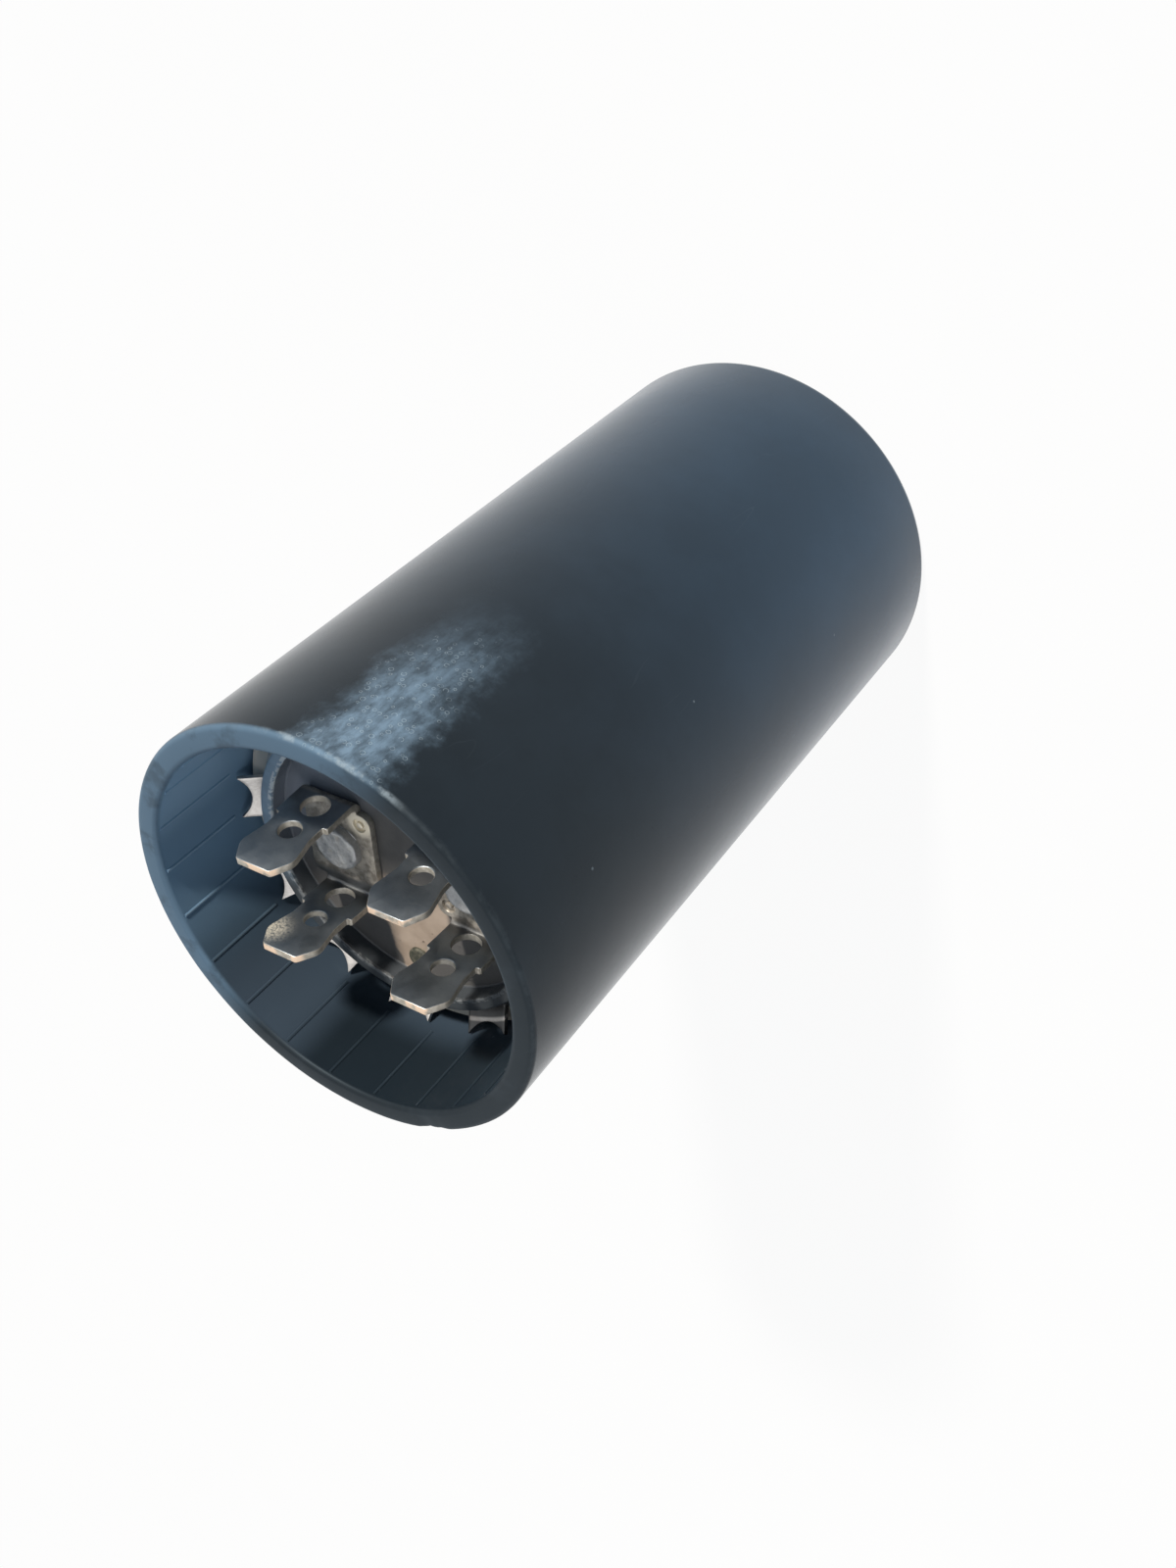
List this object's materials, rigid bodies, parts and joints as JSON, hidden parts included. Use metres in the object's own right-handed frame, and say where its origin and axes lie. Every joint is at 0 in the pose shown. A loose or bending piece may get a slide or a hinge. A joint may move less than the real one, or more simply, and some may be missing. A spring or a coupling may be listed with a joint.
{
  "type": "motor start capacitor",
  "caption": "Round moulded capacitor that gives a motor its starting current, with paired blade terminals on a cover held by a toothed ring deep in its open mouth.",
  "frame": {"origin": "centre of the flat closed end, on the surface that the capacitor stands on", "axes": "+Z along the case axis, out of the open mouth; the blades' flat sides face +Y and -Y"},
  "size_m": [0.046, 0.046, 0.0857],
  "materials": {
    "case_plastic": "semi-gloss blue-black moulding",
    "pad_card": "plain card",
    "winding_foil": "foil and paper turns",
    "wrap_paper": "plain wrapping paper",
    "gasket_rubber": "matte",
    "plate_plastic": "dull tan moulding, speckled",
    "vent_rubber": "matte",
    "ring_steel": "bright plated spring steel",
    "terminal_metal": "dull tinned sheet with bright sheared edges",
    "rivet_aluminium": "dull",
    "washer_steel": "plain",
    "lead_aluminium": "bright"
  },
  "bodies": {
    "root": {"case": "case_plastic", "bottom_pad": "pad_card", "winding": "winding_foil", "winding_wrap": "wrap_paper", "top_pad": "pad_card", "sealing_gasket": "gasket_rubber", "terminal_plate": "plate_plastic", "vent_plug": "vent_rubber", "retaining_ring": "ring_steel", "terminal_a": "terminal_metal", "terminal_b": "terminal_metal", "rivet_a": "rivet_aluminium", "rivet_b": "rivet_aluminium", "washer_a": "washer_steel", "washer_b": "washer_steel", "lead_a": "lead_aluminium", "lead_b": "lead_aluminium"}
  },
  "joints": []
}
